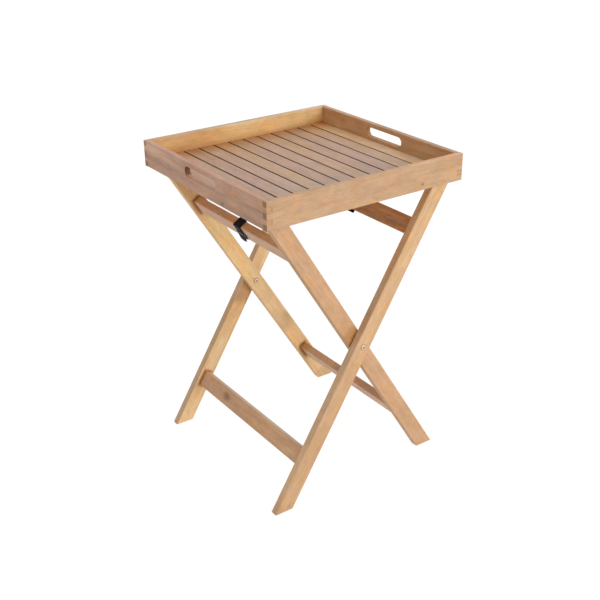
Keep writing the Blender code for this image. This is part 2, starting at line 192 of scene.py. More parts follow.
class Finish(Graph):
    """One material, with a shader whose sockets are filled by name."""

    def __init__(self, name, **constants):
        self.material = bpy.data.materials.new(name)
        self.material.use_nodes = True
        super().__init__(self.material.node_tree)
        self.shader = self.tree.nodes["Principled BSDF"]
        for socket, value in constants.items():
            self.shader.inputs[socket.replace("_", " ")].default_value = value

    def place_times(self, scale):
        """The place on the object, in metres times a scale."""
        return self.node("ShaderNodeTexCoord", output="Object") * (scale, scale, scale)

    def feed(self, socket, wire):
        self.tree.links.new(wire.socket, self.shader.inputs[socket])

    def bump(self, height, depth):
        """Turns a height from 0 to 1 into relief of this depth, in metres."""
        sockets = {"Strength": 1.0, "Distance": depth, "Height": height}
        self.feed("Normal", self.node("ShaderNodeBump", sockets))

    def put_on(self, piece):
        """Makes this the piece's only finish."""
        piece.data.materials.clear()
        piece.data.materials.append(self.material)


# %% [markdown]
# ## Which way the grain runs
#
# A board is sawn along the trunk, so its grain runs along its length. The legs lean, and
# a texture laid along X, Y or Z would cut across them. Each wooden piece is a long block,
# though: its largest faces show the thickness direction, its next largest the width, and
# what is square to both is the grain.

# %% Directions of a block
def positive(direction):
    """The same line, with its longest part pointing to +X, +Y or +Z."""
    return direction if max(direction, key=abs) > 0 else -direction


def block_axes(node):
    """The grain, width and thickness directions of a wooden piece."""
    areas = {}
    for face in node.data.polygons:
        normal = positive(face.normal)
        key = tuple(round(part, 2) for part in normal)
        total, _ = areas.get(key, (0, None))
        areas[key] = (total + face.area, normal.copy())
    by_size = sorted(areas.values(), key=lambda entry: -entry[0])
    thickness = by_size[0][1]
    width = next(n for _, n in by_size if abs(n.dot(thickness)) < 0.1)
    return positive(width.cross(thickness).normalized()), width, thickness


def block_middle(name):
    low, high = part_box(name)
    return (low + high) / 2


def half_sizes(name):
    """Half a block's length, width and thickness, in mm."""
    middle, corners = block_middle(name), nodes[name].data.vertices
    reaches = ([abs((v.co - middle).dot(axis)) for v in corners] for axis in block_axes(nodes[name]))
    return [max(reach) / MM for reach in reaches]


print("grain of a leg:", [round(part, 3) for part in block_axes(nodes["outer_leg_front"])[0]])

# %% [markdown]
# ## Solid wood
#
# The table is oiled hardwood: soft tan and pink-brown bands, fine fibres, short pores and
# a few knots. A flat wood picture would not meet itself round an edge. This finish is
# solid instead: it works out the wood at each point inside the block, as if the block
# were sawn from a trunk. Rings lie round a heart line that runs along the grain, slowly
# drifting, so faces show long arches and ends show arcs. All lengths in it are in mm.

# %% Where a point lies in its block
# The cosines at which a surface begins to face a direction and fully does
FACING = (0.5, 0.9)


class Block(Finish):
    """The finish of one wooden block, which knows its own directions in mm."""

    def __init__(self, name, seed):
        super().__init__(f"wood_{name}", Specular_IOR_Level=0.35)
        self.node_object = nodes[name]
        self.axes = block_axes(self.node_object)
        self.seed = seed
        place = self.node("ShaderNodeTexCoord", output="Object") - tuple(block_middle(name))
        self.along, self.across, self.through = (self.share(place, axis / MM) for axis in self.axes)
        parts = {0: self.along, 1: self.across, 2: self.through}
        self.place = self.node("ShaderNodeCombineXYZ", parts)
        outward = self.node("ShaderNodeTexCoord", output="Normal")
        self.facing_end, self.facing_side, self.facing_broad = (
            self.share(outward, axis) for axis in self.axes
        )

    def share(self, vector, axis):
        """How far a vector reaches along an axis."""
        sockets = {0: vector, 1: tuple(axis)}
        return self.node("ShaderNodeVectorMath", sockets, "Value", operation="DOT_PRODUCT")

    def stretched(self, length, breadth, shift=0.0):
        """The place in the block, in grains of this length and breadth."""
        grains = (1 / length, 1 / breadth, 1 / breadth)
        start = (self.seed + shift, self.seed * 1.7, self.seed * 0.6)
        sockets = {0: self.place, 1: grains, 2: start}
        return self.node("ShaderNodeVectorMath", sockets, operation="MULTIPLY_ADD")

    def streaks(self, length, breadth, low, high, shift, detail=2.0):
        """Soft marks along the grain, from 0 to 1."""
        return self.step(self.noise(self.stretched(length, breadth, shift), detail, 0.55), low, high)


# %% The wood finish
RING_GAP = 3.6
# How far the rings wander off their circles, and how fast the heart leaves the grain line
WANDER, SLOPE = 22.0, 0.03
KNOT_STRETCH = 1.6
KNOT_COLOUR = (0.085, 0.036, 0.017)
END_GRAIN = (0.46, 0.40, 0.36)
AMBER_TINT, ROSY_TINT = (1.10, 0.94, 0.66), (1.03, 0.93, 0.98)
# Each mark's length and breadth, the noise where it begins and where it is full, a
# shift that keeps it apart from the others, and for some their detail
MARKS = {
    "fibre": (60.0, 0.9, 0.30, 0.70, 1.0, 3.0),
    "band": (330, 12, 0.44, 0.64, 3.0),
    "blush": (95, 22, 0.36, 0.66, 7.0),
    "cloud": (55, 30, 0.30, 0.70, 11.0),
    "mottle": (16, 5, 0.36, 0.64, 29.0),
    "amber": (48, 15, 0.50, 0.68, 17.0),
    "rosy": (70, 18, 0.50, 0.70, 23.0),
    "pore": (8.0, 0.45, 0.62, 0.74, 13.0, 1.0),
}


def wood(name, tones, seed, heart, bands=0.6, rings=0.4, knots=(), ends=END_GRAIN, extra=None):
    """Dresses one block in solid wood.

    tones are its light, late, banded and blushed colours. heart is how far off the trunk's
    heart lies across the width and the thickness. Each knot is (along, across, radius,
    depth of colour). ends tints the end grain, and extra changes the colour before that.
    """
    block = Block(name, seed)
    light, late_tone, banded, blushed = tones

    knot_mask, swirl = 0.0, 0.0
    for knot_along, knot_across, radius, depth in knots:
        aside = (block.along - knot_along) / KNOT_STRETCH
        far = (aside * aside + (block.across - knot_across) ** 2.0) ** 0.5
        ragged = far + (block.noise(block.stretched(5, 5)) - 0.5) * (0.9 * radius)
        knot_mask = knot_mask + (1 - block.step(ragged, 0.25 * radius, 1.25 * radius)) * depth
        swirl = swirl + (1 - block.step(far, radius * 0.5, radius * 4.5)) * (2.2 * radius)

    wander = (block.noise(block.stretched(170, 26)) - 0.5) * WANDER + swirl
    sideways = block.across - heart[0] + block.along * SLOPE
    distance = (sideways * sideways + (block.through - heart[1]) ** 2.0) ** 0.5 + wander
    ring = distance / RING_GAP
    late = block.step(ring.work("FRACT", ring), 0.25, 1.0)
    number = {"W": ring.work("FLOOR", ring)}
    strength = block.node("ShaderNodeTexWhiteNoise", number, noise_dimensions="1D")
    ring_mask = late * (0.25 + 0.75 * strength) * rings

    marks = {kind: block.streaks(*sizes) for kind, sizes in MARKS.items()}
    fibre, pore = marks["fibre"], marks["pore"]
    colour = block.mix(marks["blush"], light, blushed)
    colour = block.mix(ring_mask, colour, late_tone)
    colour = block.mix(marks["band"] * bands, colour, banded)
    colour = block.tint(marks["amber"] * 0.55, colour, AMBER_TINT)
    colour = block.tint(marks["rosy"] * 0.7, colour, ROSY_TINT)
    shade = 0.84 + 0.11 * fibre + 0.13 * marks["cloud"] + 0.08 * marks["mottle"]
    colour = block.tint(1.0, colour, block.grey(shade))
    colour = block.mix(pore * 0.35, colour, tuple(part * 0.45 for part in late_tone))
    if knots:
        colour = block.mix(block.step(swirl, 0.0, 5.0) * 0.35, colour, banded)
        colour = block.mix(knot_mask, colour, KNOT_COLOUR)
    if extra:
        colour = extra(block, colour)
    end_grain = block.step(abs(block.facing_end), 0.6, 0.9)
    block.feed("Base Color", block.tint(end_grain, colour, ends))
    block.feed("Roughness", 0.50 + 0.10 * fibre + 0.12 * end_grain + 0.10 * pore)
    block.bump(0.45 * fibre + 0.25 * late - 0.7 * pore + 1.0, 0.12 * MM)
    block.put_on(block.node_object)


# %% [markdown]
# ## The tray's boards
#
# The front board is light tan with soft orange bands. The left one is a greyer pink-brown
# with darker streaks, a small knot at its lower edge and a painted sheen toward the top
# of its far end. The back one is the yellowest, paler to the right, with painted shade
# along the slats, and the right one is a warm brown. One material for all four would look
# like plastic film, so each gets its own tones and its own place in the trunk. The rim's
# top edge is painted lighter, as lit from above, with a painted sheen toward its far end.
# The round ends of the hand slots are dark, partly end grain and mostly painted shade.

# %% Tints of the boards, mostly painted light and shade
# From a board's middle, in mm: just past its hand slot, and just below its top edge
SLOT_END, RIM_EDGE = 61.0, 26.0


def top_edge(block):
    return block.step(block.facing_side, *FACING) * block.step(block.across, RIM_EDGE, RIM_EDGE + 1)


def painted_rim_light(block, colour):
    """The top edge of a board is painted lighter, as lit from above, with a painted sheen most of all
    toward its far end.
    """
    top = top_edge(block)
    # Painted light on the top edge
    rim_lit = block.tint(top * 0.75, colour, (1.30, 1.30, 1.32))
    # Painted sheen toward the far end of the top edge
    far_sheen = top * block.step(block.along, 20, 160)
    return block.tint(far_sheen * 0.8, rim_lit, (1.22, 1.20, 1.16))


def pale_right(block, colour):
    """The back board is paler to the right and greyer on top, with painted shade along the floor and in its
    lower right corner, and a painted highlight below its top edge.
    """
    middle = block.step(block.along, -90, -30) * (1 - block.step(block.along, 60, 110))
    corner = block.step(block.along, 110, 190) * (1 - block.step(block.across, -2, 12))
    faces = colour
    for share, by in (
        (block.step(block.along, -110, 0), (1.07, 1.25, 1.41)),
        (middle, (1.08, 1.07, 1.08)),
        # Painted shade in the lower right corner
        (corner, (0.97, 0.88, 0.78)),
        # A painted highlight just below the top edge
        (block.step(block.across, 21.5, 25.5) * (1 - top_edge(block)), (1.02, 1.10, 1.36)),
        # Painted shade along the floor
        (1 - block.step(block.across, -10, 6), (0.78, 0.68, 0.62)),
    ):
        faces = block.tint(share, faces, by)
    grey_top = block.tint(1.0, colour, (0.74, 0.94, 1.50))
    return painted_rim_light(block, block.mix(top_edge(block), faces, grey_top))


def shaded_slot_ends(block, colour, by):
    """The round ends of a hand slot are darkened, partly end grain and mostly painted shade inside the
    slot.
    """
    in_slot = 1 - block.step(abs(block.along), SLOT_END, SLOT_END + 1)
    # Painted shade, partly end grain, on the slot's round ends
    rounded_end = in_slot * block.step(abs(block.facing_end), 0.35, 0.8)
    return block.tint(rounded_end, colour, by)


def far_sheen_left(block, colour):
    """The left board has a painted sheen, paler toward the top of its far end."""
    patch = block.noise(block.stretched(60, 14)) * 10
    # Painted sheen toward the top of the far end
    sheen_patch = block.step(block.along, 10, 170) * block.step(block.across + patch, 6, 20)
    colour = block.tint(sheen_patch * (1 - top_edge(block)), colour, (1.22, 1.31, 1.33))
    return painted_rim_light(block, shaded_slot_ends(block, colour, (0.36, 0.27, 0.20)))


def grey_rim(block, colour):
    """The right board's top edge is greyer than its faces."""
    colour = shaded_slot_ends(block, colour, (0.80, 0.70, 0.62))
    return painted_rim_light(block, block.tint(top_edge(block), colour, (0.80, 0.89, 1.16)))


# %% Boards
# Each wood's light, late, banded and blushed tone
TAN = ((0.54, 0.353, 0.212), (0.43, 0.25, 0.14), (0.485, 0.29, 0.16), (0.555, 0.35, 0.20))
PINK_BROWN = ((0.60, 0.375, 0.265), (0.43, 0.24, 0.16), (0.46, 0.265, 0.19), (0.60, 0.35, 0.22))
HONEY = ((0.75, 0.465, 0.21), (0.56, 0.315, 0.12), (0.65, 0.37, 0.145), (0.73, 0.42, 0.165))
RUSSET = ((0.61, 0.36, 0.18), (0.43, 0.225, 0.10), (0.51, 0.285, 0.135), (0.59, 0.32, 0.155))

front_knot = (130.7, -15.5, 2.2, 0.8)
left_knot = (-82.4, -20.4, 4.2, 0.5)
FRONT_ENDS, BACK_ENDS = (0.66, 0.60, 0.62), (0.66, 0.66, 0.98)
LEFT_ENDS, RIGHT_ENDS = (0.95, 0.99, 0.72), (0.93, 0.98, 1.05)
wood("tray_front_board", TAN, 1.3, (12, 60), 0.6, 0.35, [front_knot], FRONT_ENDS, painted_rim_light)
wood("tray_back_board", HONEY, 7.7, (8, 70), 0.5, 0.3, [], BACK_ENDS, pale_right)
wood("tray_left_handle_board", PINK_BROWN, 4.1, (-20, 55), 0.9, 0.45, [left_knot], LEFT_ENDS, far_sheen_left)
wood("tray_right_handle_board", RUSSET, 9.2, (25, 50), 0.7, 0.4, [], RIGHT_ENDS, grey_rim)
print("boards dressed")

# %% [markdown]
# ## The tray's floor
#
# Twelve narrow slats, nearly all the same greyish pink, and two battens screwed across
# them below. Toward the back the slats turn browner, and in the last centimetres before
# the back board a painted shade darkens them further; the last one on the right is the
# lightest. The gaps between the slats read as thin brown lines, because the slats' sawn
# sides and their edges are darkened, partly for the oil they took up, more than the
# sanded tops, and mostly as painted shade in the gaps.

# %% Oil and painted shade on the slats
PALE_EDGE = (0.78, 0.54, 0.30)
slat_half = half_sizes("tray_slat_01")[1]


def oil_and_gap_shade(block, colour):
    """A slat is greyer at the front and browner at the back, with painted shade by the back board and along
    its edges and sides, partly oil.
    """
    forward = 1 - block.step(block.along, -190, 10)
    colour = block.tint(forward, colour, (0.94, 1.03, 1.08))
    backward = block.step(block.along + block.noise(block.stretched(40, 40)) * 60, 40, 250)
    colour = block.tint(backward, colour, (0.95, 0.91, 0.78))
    # Painted shade in the last centimetres before the back board
    back_board_shade = block.step(block.along, 155, 219)
    colour = block.tint(back_board_shade, colour, (0.80, 0.635, 0.42))
    # Painted shade in the gaps, partly oil: the edges and sides are darkened, unevenly along the slat
    oil_and_shade_streaks = 0.7 + 0.3 * block.streaks(90, 20, 0.35, 0.65, 31.0)
    edge = block.step(abs(block.across), slat_half - 1.8, slat_half - 0.5) * oil_and_shade_streaks
    colour = block.tint(edge, colour, (0.37, 0.22, 0.155))
    shaded_sides = block.step(abs(block.facing_side), 0.45, 0.8)
    return block.tint(shaded_sides * oil_and_shade_streaks, colour, (0.30, 0.20, 0.15))


def pale_edge(block, colour):
    """A pale yellow strip runs along the slat's right edge."""
    edge = block.across + block.noise(block.stretched(90, 9)) * 3.0
    pale_strip = block.step(edge, slat_half - 2.0, slat_half - 0.8)
    return oil_and_gap_shade(block, block.mix(pale_strip * 0.7, colour, PALE_EDGE))


# %% Slats and battens
PINK = ((0.64, 0.44, 0.34), (0.50, 0.32, 0.235), (0.56, 0.375, 0.285), (0.62, 0.42, 0.31))
ROSE = ((0.62, 0.42, 0.325), (0.48, 0.30, 0.22), (0.54, 0.355, 0.27), (0.63, 0.42, 0.31))
SAND = ((0.66, 0.455, 0.33), (0.52, 0.34, 0.23), (0.60, 0.395, 0.265), (0.66, 0.44, 0.295))
STRAW = ((0.83, 0.58, 0.37), (0.645, 0.42, 0.235), (0.77, 0.515, 0.30), (0.83, 0.56, 0.335))

slat_tones = [PINK, PINK, ROSE, PINK, SAND, ROSE, PINK, SAND, ROSE, PINK, SAND, STRAW]
pale_edged = {5, 11}
for number, tones in enumerate(slat_tones, start=1):
    heart = (35 * math.sin(number * 2.4), 40 + 25 * math.cos(number * 1.7))
    extra = pale_edge if number in pale_edged else oil_and_gap_shade
    wood(f"tray_slat_{number:02d}", tones, 10 + 2.37 * number, heart, extra=extra)
for side, seed in (("front", 41.3), ("back", 44.9)):
    wood(f"tray_batten_{side}", SAND, seed, (20, 45))
print(len(slat_tones), "slats dressed")

# %% [markdown]
# ## The stand
#
# The legs are tan like the front board, with soft lighter and more orange clouds, and the
# two at the back are the lightest and most yellow. The rails are pinker or redder, with
# painted light and shade on their top edges, and the left bottom one has a round knot near
# its far end. No leg or rail keeps one tone along its whole length. A table lists where
# the photograph shows one darker or paler than its own wood: most of these stretches are
# painted shade, where other pieces shade it, and the rest painted light and the wood's
# own tone. Where a rail meets a leg, a brown painted contact shade, partly glue, darkens
# both, and a painted shadow rings each bolt head. Each is worked out from the distance to
# the rail's end or the pivot, so it lies in the right place on all four legs.

# %% Darker and paler stretches, mostly painted shade
# Each is (faces, tint, start, end, soft length), in mm along the grain. ALL lies past the
# end of every piece, so a stretch that reaches it doesn't end on the piece.
ALL = 400
# Most tints are painted shade, where other pieces shade a piece or little light falls on its left side;
# some are painted light, the rest the wood's own tone
STRETCHES = {
    "outer_leg_front": [
        ("broad", (1.05, 1.05, 1.0), 0, ALL, 40),
        ("broad", (0.975, 0.94, 0.885), -ALL, 0, 40),
        ("edge", (1.18, 1.21, 1.20), -340, -230, 40),
        ("edge", (0.88, 0.86, 0.80), 35, 80, 20),
        ("edge", (1.13, 1.03, 0.88), 150, ALL, 60),
    ],
    "outer_leg_back": [
        ("broad", (1.08, 1.08, 1.03), -ALL, -250, 40),
        ("broad", (0.93, 0.85, 0.77), -150, 0, 40),
        ("broad", (0.66, 0.62, 0.60), -62, 10, 26),
        ("edge", (0.69, 0.65, 0.69), -ALL, 90, 40),
    ],
    "inner_leg_front": [("broad", (0.86, 0.80, 0.62), -20, 46, 16)],
    "inner_leg_back": [
        ("broad", (1.10, 1.18, 1.17), 20, 230, 40),
        ("broad", (0.88, 0.88, 0.86), 250, ALL, 20),
        ("broad", (0.93, 0.985, 1.03), -ALL, 20, 60),
        ("broad", (0.79, 0.75, 0.71), -176, -128, 40),
        ("broad", (0.84, 0.84, 0.87), -ALL, -350, 20),
    ],
    "inner_bottom_rail": [
        ("broad", (1.19, 1.29, 1.33), -150, 165, 30),
        ("broad", (0.95, 0.88, 0.70), 145, ALL, 40),
        ("edge", (0.83, 0.78, 0.80), -115, 50, 30),
        ("edge", (0.80, 0.74, 0.55), 150, ALL, 30),
    ],
    "outer_bottom_rail": [
        ("broad", (1.06, 1.10, 1.07), -ALL, -10, 100),
        ("edge", (1.07, 1.15, 1.20), -ALL, -10, 100),
    ],
    "inner_top_rail": [("broad", (1.14, 1.18, 1.22), -ALL, ALL, 0)],
}


def with_stretches(block, colour):
    """Tints the stretches that the table lists for this piece."""
    facing = {"broad": block.facing_broad, "edge": block.facing_side}
    for faces, by, start, end, soft in STRETCHES.get(block.node_object.name, []):
        share = block.step(abs(facing[faces]), *FACING)
        if start > -ALL:
            share = share * block.step(block.along, start - soft / 2, start + soft / 2)
        if end < ALL:
            share = share * (1 - block.step(block.along, end - soft / 2, end + soft / 2))
        colour = block.tint(share, colour, by)
    return colour


# %% Painted shade at the joints
# Tints of the painted contact shade, partly glue, where a rail meets a leg, and of the painted shadow round
# a bolt head
GLUE_AND_SHADE_TINT, BOLT_SHADOW_TINT = (0.58, 0.42, 0.25), (0.62, 0.50, 0.40)
SHADE_REACH = 8.0
# Where the painted shadow round a bolt head is full and where it ends, in mm from the pivot
BOLT_SHADOW = (5.6, 7.8)


def joint_shade_and_glue(block, colour):
    """Painted contact shade on a leg, partly glue, round the ends of its rails, and a painted shadow round
    the pivot's heads.
    """
    name = block.node_object.name
    frame_name, _, side = name.split("_")
    facing_in = block.facing_broad * (1 if side == "front" else -1)
    ragged = (block.noise(block.stretched(9, 5)) - 0.5) * 5.0
    for place in ("top", "bottom"):
        rail = f"{frame_name}_{place}_rail"
        spot = block_middle(rail) - block_middle(name)
        _, rail_high, rail_deep = half_sizes(rail)
        away = 0.0
        for distance, half, axis in (
            (block.along, rail_high, block.axes[0]), (block.across, rail_deep, block.axes[1])
        ):
            past = abs(distance - spot.dot(axis) / MM) - half
            away = away + past.work("MAXIMUM", past, 0.0) ** 2.0
        # Painted contact shade, partly glue, round the rail's end
        near = 1 - block.step(away ** 0.5 + ragged, 0.0, SHADE_REACH)
        colour = block.tint(near * block.step(facing_in, *FACING), colour, GLUE_AND_SHADE_TINT)
    # A painted shadow ring round the pivot's head
    spot = block_middle(f"pivot_bolt_{side}") - block_middle(name)
    beside = block.along - spot.dot(block.axes[0]) / MM
    across = block.across - spot.dot(block.axes[1]) / MM
    away = (beside ** 2.0 + across ** 2.0) ** 0.5 + ragged * 0.25
    return with_stretches(block, block.tint(1 - block.step(away, *BOLT_SHADOW), colour, BOLT_SHADOW_TINT))


def rail_finish(top_light_tint, figure):
    """A rail's own changes: figure along it, painted light and shade on its upper edge, and painted contact
    shade, partly glue, near its legs.
    """

    def change(block, colour):
        gold, plum = (block.streaks(46, 8, 0.42, 0.62, shift) for shift in (33.0, 37.0))
        colour = block.tint(gold * figure, colour, (1.16, 1.02, 0.78))
        colour = block.tint(plum * figure, colour, (0.80, 0.76, 0.84))
        # Painted light and shade on the upper edge
        colour = block.tint(block.step(block.facing_side, *FACING), colour, top_light_tint)
        length = half_sizes(block.node_object.name)[0]
        # Painted contact shade, partly glue, near the legs
        near = block.step(abs(block.along), length - SHADE_REACH - 2, length)
        return with_stretches(block, block.tint(near * 0.6, colour, GLUE_AND_SHADE_TINT))

    return change


# %% Legs, rails and dowels
LEG_TAN = ((0.65, 0.43, 0.255), (0.52, 0.32, 0.175), (0.59, 0.365, 0.205), (0.64, 0.405, 0.225))
INNER_TAN = ((0.618, 0.387, 0.224), (0.494, 0.288, 0.154), (0.561, 0.329, 0.18), (0.608, 0.365, 0.198))
AMBER = ((0.85, 0.57, 0.305), (0.67, 0.42, 0.20), (0.77, 0.49, 0.24), (0.83, 0.53, 0.255))
WHEAT = ((0.90, 0.65, 0.38), (0.70, 0.47, 0.255), (0.81, 0.56, 0.30), (0.89, 0.63, 0.34))
CLAY = ((0.64, 0.415, 0.28), (0.47, 0.28, 0.18), (0.545, 0.34, 0.23), (0.62, 0.385, 0.245))
GOLD_CLAY = ((0.665, 0.41, 0.238), (0.49, 0.277, 0.153), (0.565, 0.337, 0.195), (0.645, 0.38, 0.208))
CHESTNUT = ((0.645, 0.345, 0.165), (0.40, 0.202, 0.098), (0.55, 0.277, 0.124), (0.645, 0.33, 0.149))
BEECH = ((0.68, 0.48, 0.30), (0.56, 0.37, 0.22), (0.62, 0.42, 0.25), (0.68, 0.47, 0.29))
# Painted light and shade on a rail's top edge: paler and cooler as lit from above, orange for warm light in
# the tray's shade, browner in shade
SKYLIT_TOP, BOUNCE_LIT_TOP, SHADED_TOP = (1.06, 1.29, 1.65), (1.16, 1.03, 0.76), (0.97, 0.90, 0.75)

for leg, tones, seed, heart in (
    ("outer_leg_front", LEG_TAN, 51.2, (10, 48)),
    ("outer_leg_back", WHEAT, 53.9, (-14, 42)),
    ("inner_leg_front", INNER_TAN, 56.1, (18, 55)),
    ("inner_leg_back", AMBER, 58.8, (-9, 44)),
):
    wood(leg, tones, seed, heart, 0.5, 0.35, extra=joint_shade_and_glue)

rail_knot = (93.0, 2.0, 10.5, 0.5)
wood("outer_top_rail", CHESTNUT, 61.4, (16, 40), 0.9, 0.55, extra=rail_finish(SHADED_TOP, 0.8))
wood("inner_top_rail", CLAY, 63.7, (-20, 47), extra=rail_finish(BOUNCE_LIT_TOP, 0.3))
wood("outer_bottom_rail", GOLD_CLAY, 66.5, (12, 52), knots=[rail_knot], extra=rail_finish(SKYLIT_TOP, 0.3))
wood("inner_bottom_rail", CLAY, 69.1, (-12, 38), extra=rail_finish(SHADED_TOP, 0.3))

dowels = [name for name in nodes if "_dowel_" in name]
for number, name in enumerate(dowels):
    wood(name, BEECH, 80 + number, (6, 30))
print(len(dowels), "dowels dressed")

# %% [markdown]
# ## Zinc-plated steel
#
# The bolts, nuts, washers and screws are plated and dull rather than mirror bright. A
# metal shader with one roughness looks like a toy, so fine noise changes the roughness
# and the tone a little, as handling and plating do.

# %% The steel finish
steel = Finish("zinc_plated_steel", Metallic=1.0)
steel_place = steel.place_times(900.0)
dulled = steel.noise(steel_place, 3.0)
grains = steel.noise(steel_place * (6.0, 6.0, 6.0))
steel.feed("Base Color", steel.mix(dulled, (0.56, 0.48, 0.39), (0.70, 0.60, 0.48)))
steel.feed("Roughness", 0.40 + 0.14 * dulled + 0.10 * grains)
steel.bump(grains, 0.01 * MM)

# The recess is dark: painted shade inside the socket, partly grime
recess_grime_and_shade = Finish("steel_recess", Metallic=0.6)
grime_and_shade = recess_grime_and_shade.noise(recess_grime_and_shade.place_times(1500.0), 3.0)
recess_grime_and_shade.feed("Base Color", recess_grime_and_shade.mix(grime_and_shade, (0.12, 0.085, 0.06), (0.30, 0.23, 0.17)))
recess_grime_and_shade.feed("Roughness", 0.55 + 0.2 * grime_and_shade)

for side in ("front", "back"):
    steel.put_on(nodes[f"pivot_washer_{side}"])
print("washers dressed")

# %% [markdown]
# ## From loops of points to a piece
#
# The fasteners, the straps and the slider's blocks are all made in one way: closed loops
# of points, each joined to the next with quads, and a face over either end. Ready-made
# cylinders would have to be cut and welded to come to the same shapes.

# %% Loops into a piece
def join(shape, loops):
    """Joins each loop of points to the next with quads."""
    for first, second in zip(loops, loops[1:]):
        for i in range(len(first)):
            j = (i + 1) % len(first)
            shape.faces.new((first[i], first[j], second[j], second[i]))


def as_piece(name, shape):
    """Puts a finished shape into the scene, with its faces turned outward."""
    bmesh.ops.recalc_face_normals(shape, faces=shape.faces)
    mesh = bpy.data.meshes.new(name)
    shape.to_mesh(mesh)
    shape.free()
    piece = bpy.data.objects.new(name, mesh)
    bpy.context.scene.collection.objects.link(piece)
    return piece


# %% [markdown]
# ## Bolts, nuts and screws
#
# Each pivot has a low domed head with a hexagonal socket outside and the same head on the
# sleeve nut inside, which is bored for the bolt's shank, as the two would otherwise cut
# through each other. Cutting the socket with a boolean leaves ragged triangles on a dome.
# Here every ring of the head has the same number of points, and the innermost rings
# follow the socket's outline, a hexagon or a cross, so the faces flow from one shape into
# the other.

# %% A turned fastener with a recess
FASTENER_STEPS = 48
SHARP_DEGREES = 30
CROSS_ARM = 0.24
RECESS_TAPER, RIM_DROP, RIM_WIDTH = 0.86, 0.12, 0.10


def hexagon(angle):
    """A hexagon's reach at an angle, as a share of its corner's."""
    return math.cos(math.pi / 6) / math.cos(angle % (math.pi / 3) - math.pi / 6)


def cross(angle):
    """A cross-shaped recess's reach at an angle, as a share of its arm's."""
    off_arm = abs((angle + math.pi / 4) % (math.pi / 2) - math.pi / 4)
    return min(1 / math.cos(off_arm), CROSS_ARM / max(math.sin(off_arm), CROSS_ARM / 2))


def fastener(name, node, body, tip, outline, recess, profile):
    """A turned piece with a recess in its head.

    tip is the direction of its shank. recess is (outline's reach, depth), and profile is
    (radius, depth below the crown) from the crown's edge to the end of the shank, all mm.
    """
    low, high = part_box(node)
    crown = block_middle(node) - tip * (abs((high - low).dot(tip)) / 2)
    side = Vector((0, 0, 1)) if abs(tip.z) < 0.5 else Vector((1, 0, 0))
    other = tip.cross(side)
    angles = [math.tau * step / FASTENER_STEPS for step in range(FASTENER_STEPS)]
    reach, depth = recess
    rings = [[(reach * RECESS_TAPER * outline(a), depth) for a in angles],
             [(reach * outline(a), RIM_DROP) for a in angles],
             [(reach * outline(a) + RIM_WIDTH, 0.0) for a in angles]]
    rings += [[(radius, below) for _ in angles] for radius, below in profile]
    shape = bmesh.new()
    loops = []
    for ring in rings:
        loops.append([
            shape.verts.new(crown + MM * (r * math.cos(a) * side + r * math.sin(a) * other + below * tip))
            for a, (r, below) in zip(angles, ring)
        ])
    join(shape, loops)
    shape.faces.new(loops[0])
    shape.faces.new(reversed(loops[-1]))
    piece = as_piece(name, shape)
    mesh = piece.data
    mesh.shade_smooth()
    mesh.set_sharp_from_angle(angle=math.radians(SHARP_DEGREES))
    mesh.materials.append(steel.material)
    mesh.materials.append(recess_grime_and_shade.material)
    # The recess's walls are the first faces, and its floor comes after all the rings
    for face in mesh.polygons[:FASTENER_STEPS]:
        face.material_index = 1
    mesh.polygons[FASTENER_STEPS * (len(rings) - 1)].material_index = 1
    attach(piece, body)
    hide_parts(node)


# %% Pivot bolts and sleeve nuts
HEAD_RADIUS, HEAD_HEIGHT = 5.6, 2.2
HEAD_DOME = [(3.0, 0.03), (3.9, 0.18), (4.7, 0.55), (5.25, 1.0), (5.55, 1.5)]
HEAD_DOME += [(HEAD_RADIUS, 1.9), (HEAD_RADIUS, HEAD_HEIGHT)]
HEX_RECESS = (2.2, 1.5)
BOLT_RADIUS, NUT_RADIUS = 3.0, 4.5
BORE_RADIUS, BORE_DEPTH = 3.1, 20.0
TIP_CHAMFER = 0.4

for side, sign in (("front", 1), ("back", -1)):
    inward = Vector((0, sign, 0))
    halves = (("bolt", "outer_frame", inward, BOLT_RADIUS), ("nut", "inner_frame", -inward, NUT_RADIUS))
    for kind, body, tip, shank in halves:
        node = f"pivot_{kind}_{side}"
        low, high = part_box(node)
        length = (high - low).y / MM
        ending = [(shank, HEAD_HEIGHT), (shank, length - TIP_CHAMFER), (shank - TIP_CHAMFER, length)]
        if kind == "nut":
            ending += [(BORE_RADIUS, length), (BORE_RADIUS, length - BORE_DEPTH)]
        fastener(f"{node}_turned", node, body, tip, hexagon, HEX_RECESS, HEAD_DOME + ending)
print("pivots made, head across in mm:", 2 * HEAD_RADIUS)

# %% Batten screws
SCREW_RADIUS, TIP_LENGTH, TIP_RADIUS = 1.6, 2.0, 0.1
SCREW_HEAD = [(2.9, 0.0), (3.4, 0.08), (3.5, 0.4), (SCREW_RADIUS, 2.6)]
CROSS_RECESS = (2.0, 1.3)

for side in ("front", "back"):
    for number in (1, 2, 3):
        node = f"batten_screw_{side}_{number}"
        low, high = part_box(node)
        length = (high - low).z / MM
        profile = SCREW_HEAD + [(SCREW_RADIUS, length - TIP_LENGTH), (TIP_RADIUS, length)]
        fastener(f"{node}_turned", node, "tray", Vector((0, 0, 1)), cross, CROSS_RECESS, profile)
print("screws made")

# %% [markdown]
# ## Black webbing
#
# The strap is woven webbing about 25 mm wide. A flat ribbon with a bump texture shows
# smooth edges when seen close, so the thick crosswise ribs are in the mesh, in columns
# that alternate between thin selvedges. A finer thread pattern, too small for geometry,
# comes from the finish, which reads the strap's own length and width from its UV map.

